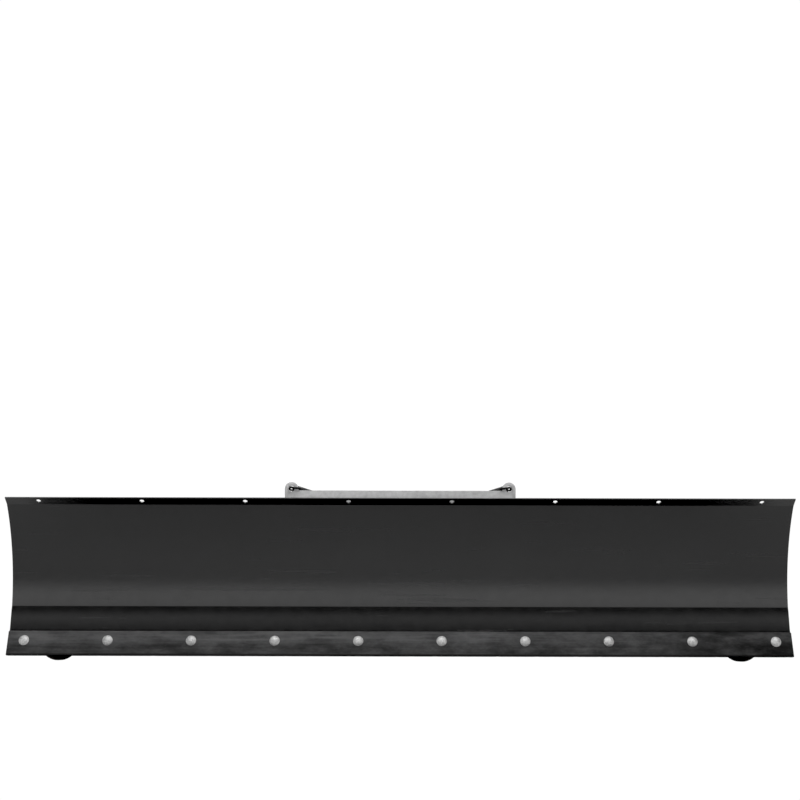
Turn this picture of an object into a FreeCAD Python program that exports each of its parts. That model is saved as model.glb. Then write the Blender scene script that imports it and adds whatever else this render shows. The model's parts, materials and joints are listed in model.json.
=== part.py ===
"""Straight plow blade for an ATV or UTV: a rolled moldboard with a bolted wear bar, mushroom skid
shoes, and a sprung trip hinge that joins it to the swing frame at the front of the push tubes.

Side profiles are drawn in the YZ plane. Y is counted back from the wear bar's front lower edge and
Z up from the ground; place() then moves every sub-part so that the whole depth is centred on Y = 0.
"""
import FreeCAD, Part
import math
import os
import re
import Sketcher

# Driving dimensions, in millimetres and degrees.
SIZES = {
    # moldboard, as a chain of straight and rolled stretches from the bottom edge to the lip
    "blade_width": 1828.8,
    "sheet": 3.0,
    "ground_gap": 27.2,
    "edge_tilt": 24.0,
    "edge_len": 64.6,
    "edge_margin": 9.0,
    "flat_tilt": 16.3,
    "flat_len": 55.0,
    "roll_radius": 365.0,
    "crease_tilt": 10.0,
    "brow_tilt": 29.0,
    "lip_tilt": 47.5,
    "lip_len": 23.0,
    "lip_hole_r": 5.25,
    "lip_hole_inset": 76.2,
    "lip_hole_count": 8,
    # wear bar and its carriage bolts
    "bar_width": 59.0,
    "bar_thick": 6.0,
    "bolt_up": 36.0,
    "bolt_inset": 38.1,
    "bolt_count": 10,
    "bolt_r": 5.0,
    "bolt_neck": 10.0,
    "bolt_head_r": 12.0,
    "bolt_head_rise": 5.0,
    "bolt_len": 23.0,
    "nut_flats": 17.0,
    "nut_rise": 8.0,
    "washer_r": 10.5,
    "washer_thick": 2.0,
    "slack": 0.1,
    # ribs, back tube and the eared spring bar
    "weld_gap": 0.3,
    "rib_thick": 6.0,
    "thin_rib": 4.0,
    "rib_foot": 5.0,
    "rib_top_z": 372.0,
    "rib_rear": 108.0,
    "rib_waist_low": 130.0,
    "rib_waist_high": 235.0,
    "light_rib_rear": 97.0,
    "light_rib_top": 25.0,
    "light_rib_shoulder": 300.0,
    "pair_x": 250.0,
    "pair_gap": 36.0,
    "mid_rib_x": 560.0,
    "end_rib_x": 910.0,
    "tube_side": 30.0,
    "tube_wall": 2.5,
    "ear_bar_y": 81.0,
    "ear_bar_thick": 6.0,
    "ear_bar_half": 275.0,
    "ear_bar_low": 338.0,
    "ear_bar_top": 412.0,
    "ear_r": 16.0,
    "ear_z": 416.0,
    "ear_hole_r": 7.0,
    # trip hinge
    "trip_y": 75.0,
    "trip_z": 105.0,
    "lug_r": 24.0,
    "pin_r": 8.0,
    "pin_fit": 0.06,
    "pin_flats": 24.0,
    "pin_head": 10.0,
    "pin_nut": 13.0,
    "pin_washer_r": 15.0,
    "sleeve_r": 14.0,
    "sleeve_gap": 0.5,
    # skid shoes
    "skid_x": 826.0,
    "skid_y": 136.0,
    "skid_tube_r": 19.0,
    "skid_tube_low": 62.0,
    "skid_tube_top": 122.0,
    "skid_plate": 5.0,
    "skid_plate_front": 34.0,
    "stem_r": 12.5,
    "stem_fit": 0.08,
    "stem_top": 166.0,
    "stem_hole_r": 3.0,
    "stem_hole_z": 129.0,
    "stem_hole_pitch": 14.0,
    "dish_r": 47.0,
    "dish_rim_z": 26.0,
    "dish_flat_r": 14.0,
    "dish_wall": 5.0,
    "hub_r": 20.0,
    "hub_top": 31.7,
    "spacer_pitch": 10.0,
    "spacer_count": 3,
    "clip_wire_r": 1.8,
    # swing frame
    "cross_half": 290.0,
    "cross_y": 118.0,
    "cross_z": 80.0,
    "cross_side": 50.0,
    "cross_wall": 4.0,
    "arm_thick": 10.0,
    "arm_nose_r": 22.0,
    "plug_rise": 4.0,
    "plug_depth": 14.0,
    "stop_half": 30.0,
    "stop_thick": 8.0,
    "stop_top": 190.0,
    "bumper_low": 146.0,
    "bumper_top": 182.0,
    "king_y": 250.0,
    "king_r": 10.25,
    "king_plate": 8.0,
    "king_front_half": 150.0,
    "king_round_r": 100.0,
    "king_collar_r": 22.0,
    "king_collar_rise": 8.0,
    "lock_circle_r": 87.0,
    "lock_hole_r": 6.5,
    "lock_step": 15.0,
    "tower_x": 95.0,
    "tower_base": 268.0,
    "tower_bar_y": 285.0,
    "tower_bar_z": 354.0,
    "tower_bar_half": 152.0,
    "eye_x": 130.0,
    "eye_y": 260.0,
    "eye_ring_r": 12.0,
    "eye_wire_r": 4.5,
    "eye_shank_end": 346.0,
    # trip springs
    "spring_r": 11.0,
    "spring_wire_r": 2.5,
    "hook_r": 11.0,
    "hook_front": 7.5,
    "hook_reach": 6.0,
    "hook_neck": 11.0,
    "loop_gap": 1.35,
}

os.makedirs("parts", exist_ok=True)
doc = FreeCAD.newDocument("PlowBlade")
sheet = doc.addObject("Spreadsheet::Sheet", "Sizes")
for row, (alias, size) in enumerate(SIZES.items(), start=1):
    sheet.set(f"A{row}", alias)
    sheet.set(f"B{row}", str(size))
    sheet.setAlias(f"B{row}", alias)
doc.recompute()

parts = []
V = FreeCAD.Vector


def bound(text):
    """The expression with each size's name pointed at its cell."""
    return re.sub(r"[a-z_]+", lambda m: "Sizes." + m[0] if m[0] in SIZES else m[0], text)


def number(text):
    return float(sheet.evalExpression(bound(text)))


def shift(point, length, tilt):
    """The point moved up by length along a line that leans back by tilt degrees."""
    return (f"{point[0]} + ({length}) * sin({tilt})", f"{point[1]} + ({length}) * cos({tilt})")


def behind(point, depth, tilt):
    """The point moved straight into the back of a face that leans back by tilt degrees."""
    return (f"{point[0]} + ({depth}) * cos({tilt})", f"{point[1]} - ({depth}) * sin({tilt})")


def mitre(point, depth, tilt_below, tilt_above):
    """The point behind a bend, where the offset faces below and above it meet."""
    half = f"(({tilt_below}) - ({tilt_above})) / 2"
    mean = f"(({tilt_below}) + ({tilt_above})) / 2"
    return behind(point, f"({depth}) / cos({half})", mean)


# The moldboard's front face, from the wear bar's lower edge to the end of the lip.
BAR_BACK = ("bar_thick * cos(edge_tilt)", "ground_gap")
BAR_FRONT = ("0", "ground_gap + bar_thick * sin(edge_tilt)")
BEND = shift(BAR_BACK, "edge_len", "edge_tilt")
CREASE = shift(BEND, "flat_len", "flat_tilt")
BELLY_Y = f"{CREASE[0]} + roll_radius * (1 - cos(crease_tilt))"
BELLY_Z = f"{CREASE[1]} + roll_radius * sin(crease_tilt)"
BROW = (f"{BELLY_Y} - roll_radius * (1 - cos(brow_tilt))", f"{BELLY_Z} + roll_radius * sin(brow_tilt)")
LIP_END = shift(BROW, "lip_len", "-lip_tilt")
REAR_Y = "king_y + king_round_r"
TIP_Y = f"-(({LIP_END[0]}) + ({REAR_Y})) / 2"


def new_body(label):
    body = doc.addObject("PartDesign::Body", label)
    body.Label = label
    parts.append(body)
    return body


def place(part, x="0", y="0", z="0"):
    """Puts a sub-part at a point given across, back from the wear bar's edge, and up."""
    part.setExpression("Placement.Base.x", bound(x))
    part.setExpression("Placement.Base.y", bound(f"({y}) + {TIP_Y}"))
    part.setExpression("Placement.Base.z", bound(z))


def turn(part, axis, angle):
    """Turns a sub-part about its own origin; angle is in degrees."""
    part.Placement = FreeCAD.Placement(part.Placement.Base, FreeCAD.Rotation(V(*axis), angle))


def new_sketch(body, plane):
    sketch = body.newObject("Sketcher::SketchObject", body.Name + "_sketch")
    sketch.AttachmentSupport = [(next(f for f in body.Origin.OriginFeatures if f.Role == plane), "")]
    sketch.MapMode = "FlatFace"
    return sketch


def lean(sketch, point, tilt):
    """Leans an XZ sketch back by tilt degrees, with its origin at a point of the side profile."""
    turned_plane = FreeCAD.Rotation(V(-1, 0, 0), number(tilt))
    sketch.AttachmentOffset = FreeCAD.Placement(V(0, 0, 0), turned_plane)
    sketch.setExpression("AttachmentOffset.Base.y", bound(point[1]))
    sketch.setExpression("AttachmentOffset.Base.z", bound(f"-({point[0]})"))


def bind_point(sketch, geometry, end, across, up):
    for kind, text in (("DistanceX", across), ("DistanceY", up)):
        index = sketch.addConstraint(Sketcher.Constraint(kind, -1, 1, geometry, end, number(text)))
        sketch.setExpression(f"Constraints[{index}]", bound(text))


def bind_radius(sketch, geometry, radius):
    index = sketch.addConstraint(Sketcher.Constraint("Radius", geometry, number(radius)))
    sketch.setExpression(f"Constraints[{index}]", bound(radius))


def arc_between(start, end, radius, left):
    """An arc from start to end whose centre is on the left of the way from one to the other."""
    chord = end - start
    side = V(-chord.y, chord.x, 0).normalize() * (1 if left else -1)
    rise = math.sqrt(max(radius ** 2 - (chord.Length / 2) ** 2, 0))
    centre = (start + end) * 0.5 + side * rise
    first, last = (start, end) if left else (end, start)
    angles = [math.atan2(p.y - centre.y, p.x - centre.x) for p in (first, last)]
    if angles[1] < angles[0]:
        angles[1] += 2 * math.pi
    return Part.ArcOfCircle(Part.Circle(centre, V(0, 0, 1), radius), *angles)


def outline(sketch, corners):
    """A closed outline. A corner is (across, up), and a third and fourth item, a radius and "left"
    or "right", make the edge that leaves it an arc with its centre on that side."""
    points = [V(number(c[0]), number(c[1]), 0) for c in corners]
    edges = []
    for i, corner in enumerate(corners):
        start, end = points[i], points[(i + 1) % len(points)]
        if len(corner) == 2:
            edges.append((sketch.addGeometry(Part.LineSegment(start, end), False), 1, 2))
            continue
        left = corner[3] == "left"
        arc = sketch.addGeometry(arc_between(start, end, number(corner[2]), left), False)
        edges.append((arc, 1, 2) if left else (arc, 2, 1))
    for i, corner in enumerate(corners):
        before = edges[i - 1]
        edge, start_end = edges[i][0], edges[i][1]
        sketch.addConstraint(Sketcher.Constraint("Coincident", before[0], before[2], edge, start_end))
        bind_point(sketch, edge, start_end, corner[0], corner[1])
        if len(corner) == 4:
            bind_radius(sketch, edge, corner[2])


def circle(sketch, across, up, radius):
    centre = V(number(across), number(up), 0)
    index = sketch.addGeometry(Part.Circle(centre, V(0, 0, 1), number(radius)), False)
    bind_point(sketch, index, 3, across, up)
    bind_radius(sketch, index, radius)


def box_corners(low, high):
    return [(low[0], low[1]), (high[0], low[1]), (high[0], high[1]), (low[0], high[1])]


def hexagon(flats):
    corners = []
    for step in range(6):
        angle = 60 * step + 30
        corners.append((f"{flats} / sqrt(3) * cos({angle})", f"{flats} / sqrt(3) * sin({angle})"))
    return corners


def pad(body, sketch, length, both_ways=False):
    feature = body.newObject("PartDesign::Pad", body.Name + "_pad")
    feature.Profile = sketch
    feature.setExpression("Length", bound(length))
    if both_ways:
        feature.SideType = "Symmetric"
    body.Tip = feature
    doc.recompute()
    return feature


def pocket(body, sketch, length):
    """Cuts the sketch through the body, length / 2 to each side of the sketch's plane."""
    before = body.Shape.Volume
    feature = body.newObject("PartDesign::Pocket", body.Name + "_pocket")
    feature.Profile = sketch
    feature.setExpression("Length", bound(length))
    feature.SideType = "Symmetric"
    body.Tip = feature
    doc.recompute()
    if body.Shape.Volume >= before - 1e-6:
        raise ValueError(f"{body.Label}: the pocket cuts nothing")
    return feature


def revolve(body, sketch):
    feature = body.newObject("PartDesign::Revolution", body.Name + "_turned")
    feature.Profile = sketch
    feature.ReferenceAxis = (sketch, ["V_Axis"])
    feature.Angle = 360
    body.Tip = feature
    doc.recompute()
    return feature


def row(body, features, sketch, axis, length, count):
    """Repeats features in a straight row along one of the sketch's axes."""
    pattern = body.newObject("PartDesign::LinearPattern", body.Name + "_row")
    pattern.Originals = features
    pattern.Direction = (sketch, [axis])
    pattern.setExpression("Length", bound(length))
    pattern.setExpression("Occurrences", bound(count))
    body.Tip = pattern
    doc.recompute()
    return pattern


def side_plate(label, corners, thick, x):
    """A flat plate drawn in side view, thick mm across, centred on x."""
    body = new_body(label)
    sketch = new_sketch(body, "YZ_Plane")
    outline(sketch, corners)
    pad(body, sketch, thick, both_ways=True)
    place(body, x=x)
    return body


def ring(label, inner, outer, height, x, y, z):
    """An upright tube, collar or washer."""
    body = new_body(label)
    sketch = new_sketch(body, "XY_Plane")
    circle(sketch, "0", "0", outer)
    circle(sketch, "0", "0", inner)
    pad(body, sketch, height)
    place(body, x=x, y=y, z=z)
    return body


# ---- moldboard and wear bar ----

def moldboard():
    body = new_body("moldboard")
    sketch = new_sketch(body, "YZ_Plane")
    low = shift(BAR_BACK, "edge_margin", "edge_tilt")
    outline(sketch, [
        low,
        BEND,
        (*CREASE, "roll_radius", "left"),
        BROW,
        LIP_END,
        behind(LIP_END, "sheet", "-lip_tilt"),
        (*mitre(BROW, "sheet", "-brow_tilt", "-lip_tilt"), "roll_radius + sheet", "right"),
        mitre(CREASE, "sheet", "flat_tilt", "crease_tilt"),
        mitre(BEND, "sheet", "edge_tilt", "flat_tilt"),
        behind(low, "sheet", "edge_tilt"),
    ])
    pad(body, sketch, "blade_width", both_ways=True)
    lip_holes(body)
    wear_bolt_holes(body)
    place(body)


def lip_holes(body):
    """Holes along the lip for a snow deflector flap."""
    sketch = new_sketch(body, "XZ_Plane")
    lean(sketch, shift(BROW, "lip_len / 2", "-lip_tilt"), "-lip_tilt")
    circle(sketch, "lip_hole_inset - blade_width / 2", "0", "lip_hole_r")
    cut = pocket(body, sketch, "6 * sheet")
    row(body, [cut], sketch, "H_Axis", "blade_width - 2 * lip_hole_inset", "lip_hole_count")


def wear_bolt_holes(body):
    sketch = new_sketch(body, "XZ_Plane")
    lean(sketch, shift(BAR_BACK, "bolt_up", "edge_tilt"), "edge_tilt")
    circle(sketch, "bolt_inset - blade_width / 2", "0", "bolt_r + 5 * slack")
    cut = pocket(body, sketch, "6 * sheet")
    row(body, [cut], sketch, "H_Axis", "blade_width - 2 * bolt_inset", "bolt_count")


def wear_bar():
    body = new_body("wear_bar")
    sketch = new_sketch(body, "YZ_Plane")
    front_top = shift(BAR_FRONT, "bar_width", "edge_tilt")
    outline(sketch, [BAR_FRONT, BAR_BACK, behind(front_top, "bar_thick", "edge_tilt"), front_top])
    pad(body, sketch, "blade_width", both_ways=True)
    holes = new_sketch(body, "XZ_Plane")
    lean(holes, shift(BAR_FRONT, "bolt_up", "edge_tilt"), "edge_tilt")
    first = "bolt_inset - blade_width / 2"
    half = "(bolt_neck / 2 + slack)"
    outline(holes, box_corners((f"{first} - {half}", f"-{half}"), (f"{first} + {half}", half)))
    cut = pocket(body, holes, "3 * bar_thick")
    row(body, [cut], holes, "H_Axis", "blade_width - 2 * bolt_inset", "bolt_count")
    place(body)


def place_on_bar(body, depth):
    """Stands a fastener group on the wear bar's bolt line, its Z pointing into the moldboard."""
    turn(body, (-1, 0, 0), 90 + SIZES["edge_tilt"])
    y, z = behind(shift(BAR_FRONT, "bolt_up", "edge_tilt"), depth, "edge_tilt")
    place(body, x="bolt_inset - blade_width / 2", y=y, z=z)


def bolt_row(body, features, sketch):
    row(body, features, sketch, "H_Axis", "blade_width - 2 * bolt_inset", "bolt_count")


def wear_bar_bolts():
    """Carriage bolts: a domed head on the bar's face, a square neck in the bar, and a round shank."""
    body = new_body("wear_bar_bolts")
    profile = new_sketch(body, "XZ_Plane")
    dome = "(bolt_head_r ^ 2 + bolt_head_rise ^ 2) / (2 * bolt_head_rise)"
    outline(profile, [
        ("0", "-bolt_head_rise", dome, "left"),
        ("bolt_head_r", "0"),
        ("bolt_r", "0"),
        ("bolt_r", "bolt_len - 1"),
        ("bolt_r - 1", "bolt_len"),
        ("0", "bolt_len"),
    ])
    shank = revolve(body, profile)
    square = new_sketch(body, "XY_Plane")
    outline(square, box_corners(("-bolt_neck / 2", "-bolt_neck / 2"), ("bolt_neck / 2", "bolt_neck / 2")))
    neck = pad(body, square, "bar_thick - 1")
    bolt_row(body, [shank, neck], profile)
    place_on_bar(body, "0")


def wear_bar_washers():
    body = new_body("wear_bar_washers")
    sketch = new_sketch(body, "XY_Plane")
    circle(sketch, "0", "0", "washer_r")
    circle(sketch, "0", "0", "bolt_r + 3 * slack")
    washer = pad(body, sketch, "washer_thick")
    bolt_row(body, [washer], sketch)
    place_on_bar(body, "bar_thick + sheet")


def wear_bar_nuts():
    body = new_body("wear_bar_nuts")
    sketch = new_sketch(body, "XY_Plane")
    outline(sketch, hexagon("nut_flats"))
    circle(sketch, "0", "0", "bolt_r + slack / 2")
    nut = pad(body, sketch, "nut_rise")
    bolt_row(body, [nut], sketch)
    place_on_bar(body, "bar_thick + sheet + washer_thick")


# ---- ribs, back tube and spring bar ----

def rib_front():
    """The edge shared by every rib: it follows the moldboard's back up from just above the bend."""
    depth = "sheet + weld_gap"
    centre_y = f"{BELLY_Y} - roll_radius"
    reach = "(roll_radius + sheet + weld_gap)"
    foot = behind(shift(BEND, "rib_foot", "flat_tilt"), depth, "flat_tilt")
    crease = mitre(CREASE, depth, "flat_tilt", "crease_tilt")
    top = (f"{centre_y} + sqrt({reach} ^ 2 - (rib_top_z - ({BELLY_Z})) ^ 2)", "rib_top_z")
    return [foot, (*crease, reach, "left"), top]


def notch_for_tube(body):
    """A square notch that lets the back tube pass through a rib."""
    sketch = new_sketch(body, "YZ_Plane")
    near = f"{BELLY_Y} + sheet"
    far = f"{BELLY_Y} + sheet + tube_side + 2 * weld_gap"
    low = f"{BELLY_Z} - tube_side / 2 - weld_gap"
    high = f"{BELLY_Z} + tube_side / 2 + weld_gap"
    outline(sketch, box_corners((near, low), (far, high)))
    pocket(body, sketch, "3 * rib_thick")


def main_rib(label, x):
    """A deep rib with the trip hinge's lug at its foot."""
    corners = rib_front() + [
        ("ear_bar_y", "rib_top_z"),
        ("ear_bar_y", "ear_bar_low - rib_foot"),
        ("rib_rear", "rib_waist_high"),
        ("rib_rear", "rib_waist_low"),
        ("trip_y + lug_r", "trip_z", "lug_r", "right"),
        ("trip_y", "trip_z - lug_r"),
    ]
    body = side_plate(label, corners, "rib_thick", x)
    notch_for_tube(body)
    hole = new_sketch(body, "YZ_Plane")
    circle(hole, "trip_y", "trip_z", "pin_r + pin_fit")
    pocket(body, hole, "3 * rib_thick")


def light_rib(label, x, notched):
    front = rib_front()
    corners = front + [
        (f"{front[2][0]} + light_rib_top", "rib_top_z"),
        ("light_rib_rear", "light_rib_shoulder"),
        ("light_rib_rear", f"{front[0][1]} + light_rib_top"),
    ]
    body = side_plate(label, corners, "thin_rib", x)
    if notched:
        notch_for_tube(body)


def back_tube():
    """A square tube welded along the deepest line of the moldboard's back, between the end ribs."""
    body = new_body("back_tube")
    sketch = new_sketch(body, "YZ_Plane")
    low = (f"{BELLY_Y} + sheet + weld_gap", f"{BELLY_Z} - tube_side / 2")
    high = (f"{low[0]} + tube_side", f"{BELLY_Z} + tube_side / 2")
    outline(sketch, box_corners(low, high))
    inside_low = (f"{low[0]} + tube_wall", f"{low[1]} + tube_wall")
    inside_high = (f"{high[0]} - tube_wall", f"{high[1]} - tube_wall")
    outline(sketch, box_corners(inside_low, inside_high))
    pad(body, sketch, "2 * end_rib_x - thin_rib", both_ways=True)
    place(body)


def spring_bar():
    """A flat bar across the two rib pairs, with a rounded ear at each end for a spring's hook."""
    body = new_body("spring_bar")
    sketch = new_sketch(body, "XZ_Plane")
    inner = "ear_bar_half - 2 * ear_r"
    outline(sketch, [
        ("-ear_bar_half", "ear_bar_low"),
        ("ear_bar_half", "ear_bar_low"),
        ("ear_bar_half", "ear_z", "ear_r", "left"),
        ("ear_bar_half - ear_r", "ear_z + ear_r", "ear_r", "left"),
        (inner, "ear_z"),
        (inner, "ear_bar_top"),
        (f"-({inner})", "ear_bar_top"),
        (f"-({inner})", "ear_z", "ear_r", "left"),
        ("ear_r - ear_bar_half", "ear_z + ear_r", "ear_r", "left"),
        ("-ear_bar_half", "ear_z"),
    ])
    circle(sketch, "ear_bar_half - ear_r", "ear_z", "ear_hole_r")
    circle(sketch, "ear_r - ear_bar_half", "ear_z", "ear_hole_r")
    pad(body, sketch, "ear_bar_thick")
    place(body, y="ear_bar_y + ear_bar_thick")


# ---- skid shoes ----

def skid_gusset(label, x):
    corners = [
        rib_front()[0],
        behind(shift(BEND, "skid_plate_front", "flat_tilt"), "sheet + weld_gap", "flat_tilt"),
        ("skid_y + skid_tube_r", "skid_tube_top"),
        ("skid_y + skid_tube_r", "skid_tube_low"),
        ("skid_y - skid_tube_r", "skid_tube_low"),
    ]
    side_plate(label, corners, "skid_plate", x)


def skid_shoe(label, x):
    """A round dish on a stem: the dish slides on the ground and the stem turns in the skid tube."""
    body = new_body(label)
    profile = new_sketch(body, "XZ_Plane")
    centre_z = "sqrt(dish_r ^ 2 - dish_flat_r ^ 2)"
    inner_r = "(dish_r - dish_wall)"
    rim = f"sqrt(dish_r ^ 2 - ({centre_z} - dish_rim_z) ^ 2)"
    inner_rim = f"sqrt({inner_r} ^ 2 - ({centre_z} - dish_rim_z) ^ 2)"
    hub_z = f"{centre_z} - sqrt({inner_r} ^ 2 - hub_r ^ 2)"
    outline(profile, [
        ("0", "0"),
        ("dish_flat_r", "0", "dish_r", "left"),
        (rim, "dish_rim_z"),
        (inner_rim, "dish_rim_z", inner_r, "right"),
        ("hub_r", hub_z),
        ("hub_r", "hub_top"),
        ("stem_r", "hub_top"),
        ("stem_r", "stem_top"),
        ("stem_r - 2", "stem_top + 2"),
        ("0", "stem_top + 2"),
    ])
    revolve(body, profile)
    holes = new_sketch(body, "YZ_Plane")
    circle(holes, "0", "stem_hole_z", "stem_hole_r")
    cut = pocket(body, holes, "3 * stem_r")
    row(body, [cut], holes, "V_Axis", "2 * stem_hole_pitch", "3")
    place(body, x=x, y="skid_y")


def skid_spacers(label, x):
    body = new_body(label)
    sketch = new_sketch(body, "XY_Plane")
    circle(sketch, "0", "0", "skid_tube_r")
    circle(sketch, "0", "0", "stem_r + slack")
    spacer = pad(body, sketch, "spacer_pitch - 2 * slack")
    row(body, [spacer], sketch, "N_Axis", "spacer_pitch * (spacer_count - 1)", "spacer_count")
    place(body, x=x, y="skid_y", z="hub_top")


def skid_clip(label, x):
    """A spring wire clip: one leg through the stem, the other pressed against its outside."""
    wire_r = SIZES["clip_wire_r"]
    outside = SIZES["stem_r"] + wire_r + SIZES["slack"]
    leg = outside + 12
    start = V(-leg, 0, 0)
    near = V(leg, 0, 0)
    far = V(leg, outside, 0)
    edges = [
        Part.LineSegment(start, near).toShape(),
        Part.Arc(near, V(leg + outside / 2, outside / 2, 0), far).toShape(),
        Part.LineSegment(far, V(-leg, outside, 0)).toShape(),
    ]
    section = Part.Wire(Part.makeCircle(wire_r, start, V(1, 0, 0)))
    clip = doc.addObject("Part::Feature", label)
    clip.Label = label
    clip.Shape = Part.Wire(edges).makePipeShell([section], True, False)
    parts.append(clip)
    place(clip, x=x, y="skid_y", z="stem_hole_z")


def skid(side, sign):
    x = f"{sign} * skid_x"
    offset = "(skid_tube_r + skid_plate / 2 + slack)"
    skid_gusset(f"skid_gusset_{side}_outer", f"{sign} * (skid_x + {offset})")
    skid_gusset(f"skid_gusset_{side}_inner", f"{sign} * (skid_x - {offset})")
    tube_rise = "skid_tube_top - skid_tube_low"
    ring(f"skid_tube_{side}", "stem_r + stem_fit", "skid_tube_r", tube_rise, x, "skid_y", "skid_tube_low")
    skid_shoe(f"skid_shoe_{side}", x)
    skid_spacers(f"skid_spacers_{side}", x)
    washer_z = "skid_tube_top + weld_gap"
    ring(f"skid_washer_{side}", "stem_r + slack", "skid_tube_r", "3", x, "skid_y", washer_z)
    skid_clip(f"skid_clip_{side}", x)


# ---- trip hinge ----

def hinge_pair(label):
    """A node of two pieces, one on each trip hinge, drawn once in the YZ plane."""
    body = new_body(label)
    place(body, y="trip_y", z="trip_z")
    return body


def across_from(body, start):
    """A YZ sketch moved across to start."""
    sketch = new_sketch(body, "YZ_Plane")
    sketch.setExpression("AttachmentOffset.Base.z", bound(start))
    return sketch


def mirror(body, features):
    mirrored = body.newObject("PartDesign::Mirrored", body.Name + "_mirrored")
    mirrored.Originals = features
    plane = next(f for f in body.Origin.OriginFeatures if f.Role == "YZ_Plane")
    mirrored.MirrorPlane = (plane, [""])
    body.Tip = mirrored
    doc.recompute()


PAIR_OUT = "pair_x + pair_gap / 2 + rib_thick / 2"
PAIR_IN = "pair_x - pair_gap / 2 - rib_thick / 2"


def pivot_bolts():
    body = hinge_pair("pivot_bolts")
    shank_sketch = across_from(body, f"{PAIR_IN} - pin_nut - 2 * washer_thick")
    circle(shank_sketch, "0", "0", "pin_r")
    shank = pad(body, shank_sketch, "pair_gap + rib_thick + pin_nut + 3 * washer_thick")
    head_sketch = across_from(body, f"{PAIR_OUT} + washer_thick")
    outline(head_sketch, hexagon("pin_flats"))
    head = pad(body, head_sketch, "pin_head")
    mirror(body, [shank, head])


def pivot_washers():
    body = hinge_pair("pivot_washers")
    pads = []
    for start in (PAIR_OUT, f"{PAIR_IN} - washer_thick"):
        sketch = across_from(body, start)
        circle(sketch, "0", "0", "pin_washer_r")
        circle(sketch, "0", "0", "pin_r + slack")
        pads.append(pad(body, sketch, "washer_thick"))
    mirror(body, pads)


def pivot_nuts():
    body = hinge_pair("pivot_nuts")
    sketch = across_from(body, f"{PAIR_IN} - washer_thick - pin_nut")
    outline(sketch, hexagon("pin_flats"))
    circle(sketch, "0", "0", "pin_r + slack / 2")
    mirror(body, [pad(body, sketch, "pin_nut")])


def pivot_sleeve(label, x):
    body = new_body(label)
    sketch = new_sketch(body, "YZ_Plane")
    circle(sketch, "0", "0", "sleeve_r")
    circle(sketch, "0", "0", "pin_r + pin_fit")
    pad(body, sketch, "pair_gap - rib_thick - 2 * sleeve_gap", both_ways=True)
    place(body, x=x, y="trip_y", z="trip_z")


# ---- swing frame ----

def frame_arm(label, x):
    corners = [
        ("trip_y", "trip_z + arm_nose_r", "arm_nose_r", "left"),
        ("trip_y - arm_nose_r", "trip_z", "arm_nose_r", "left"),
        ("trip_y", "trip_z - arm_nose_r"),
        ("cross_y", "trip_z - arm_nose_r"),
        ("cross_y", "trip_z + arm_nose_r"),
    ]
    body = side_plate(label, corners, "arm_thick", x)
    hole = new_sketch(body, "YZ_Plane")
    circle(hole, "trip_y", "trip_z", "sleeve_r + slack")
    pocket(body, hole, "3 * arm_thick")


def hollow_bar(label, low_y, low_z, side, wall, half):
    """A square tube across the frame; low_y and low_z are its lower front edge."""
    body = new_body(label)
    sketch = new_sketch(body, "YZ_Plane")
    outline(sketch, box_corners(("0", "0"), (side, side)))
    outline(sketch, box_corners((wall, wall), (f"{side} - {wall}", f"{side} - {wall}")))
    pad(body, sketch, f"2 * {half}", both_ways=True)
    place(body, y=low_y, z=low_z)
    return body


def cross_plug(label, sign):
    """A moulded plug in the cross tube's open end: a flange outside and a stub inside."""
    body = new_body(label)
    flange_sketch = across_from(body, "0")
    outline(flange_sketch, box_corners(("0", "0"), ("cross_side", "cross_side")))
    pad(body, flange_sketch, "plug_rise")
    stub_sketch = across_from(body, "-plug_depth")
    near = "cross_wall + weld_gap"
    far = "cross_side - cross_wall - weld_gap"
    outline(stub_sketch, box_corners((near, near), (far, far)))
    pad(body, stub_sketch, "plug_depth")
    if sign < 0:
        turn(body, (0, 0, 1), 180)
        place(body, x="-cross_half", y="cross_y + cross_side", z="cross_z")
    else:
        place(body, x="cross_half", y="cross_y", z="cross_z")


def stop_plate(label, x):
    body = new_body(label)
    sketch = new_sketch(body, "XZ_Plane")
    outline(sketch, box_corners(("-stop_half", "cross_z + cross_side"), ("stop_half", "stop_top")))
    pad(body, sketch, "stop_thick")
    place(body, x=x, y="cross_y + stop_thick")


def stop_gusset(label, x):
    foot = "cross_z + cross_side"
    corners = [
        ("cross_y + stop_thick", foot),
        ("cross_y + cross_side", foot),
        ("cross_y + cross_side", f"{foot} + stop_thick"),
        ("cross_y + 2 * stop_thick", "stop_top - stop_thick"),
        ("cross_y + stop_thick", "stop_top - stop_thick"),
    ]
    side_plate(label, corners, "stop_thick", x)


def bumper(label, x):
    """A rubber pad on the stop plate that the rib pair rests on."""
    body = new_body(label)
    sketch = new_sketch(body, "XZ_Plane")
    outline(sketch, box_corners(("1 - stop_half", "bumper_low"), ("stop_half - 1", "bumper_top")))
    pad(body, sketch, "cross_y - rib_rear - weld_gap")
    place(body, x=x, y="cross_y")


def king_plate(label, z, lock_holes):
    """One cheek of the king-pin clevis, rounded about the pin's axis."""
    body = new_body(label)
    sketch = new_sketch(body, "XY_Plane")
    outline(sketch, [
        ("king_front_half", "cross_y"),
        ("king_round_r", "king_y", "king_round_r", "left"),
        ("0", "king_y + king_round_r", "king_round_r", "left"),
        ("-king_round_r", "king_y"),
        ("-king_front_half", "cross_y"),
    ])
    circle(sketch, "0", "king_y", "king_r")
    if lock_holes:
        for step in (-2, -1, 0, 1, 2):
            angle = f"{step} * lock_step"
            across = f"lock_circle_r * sin({angle})"
            circle(sketch, across, f"king_y + lock_circle_r * cos({angle})", "lock_hole_r")
    pad(body, sketch, "king_plate")
    place(body, z=z)


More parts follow.
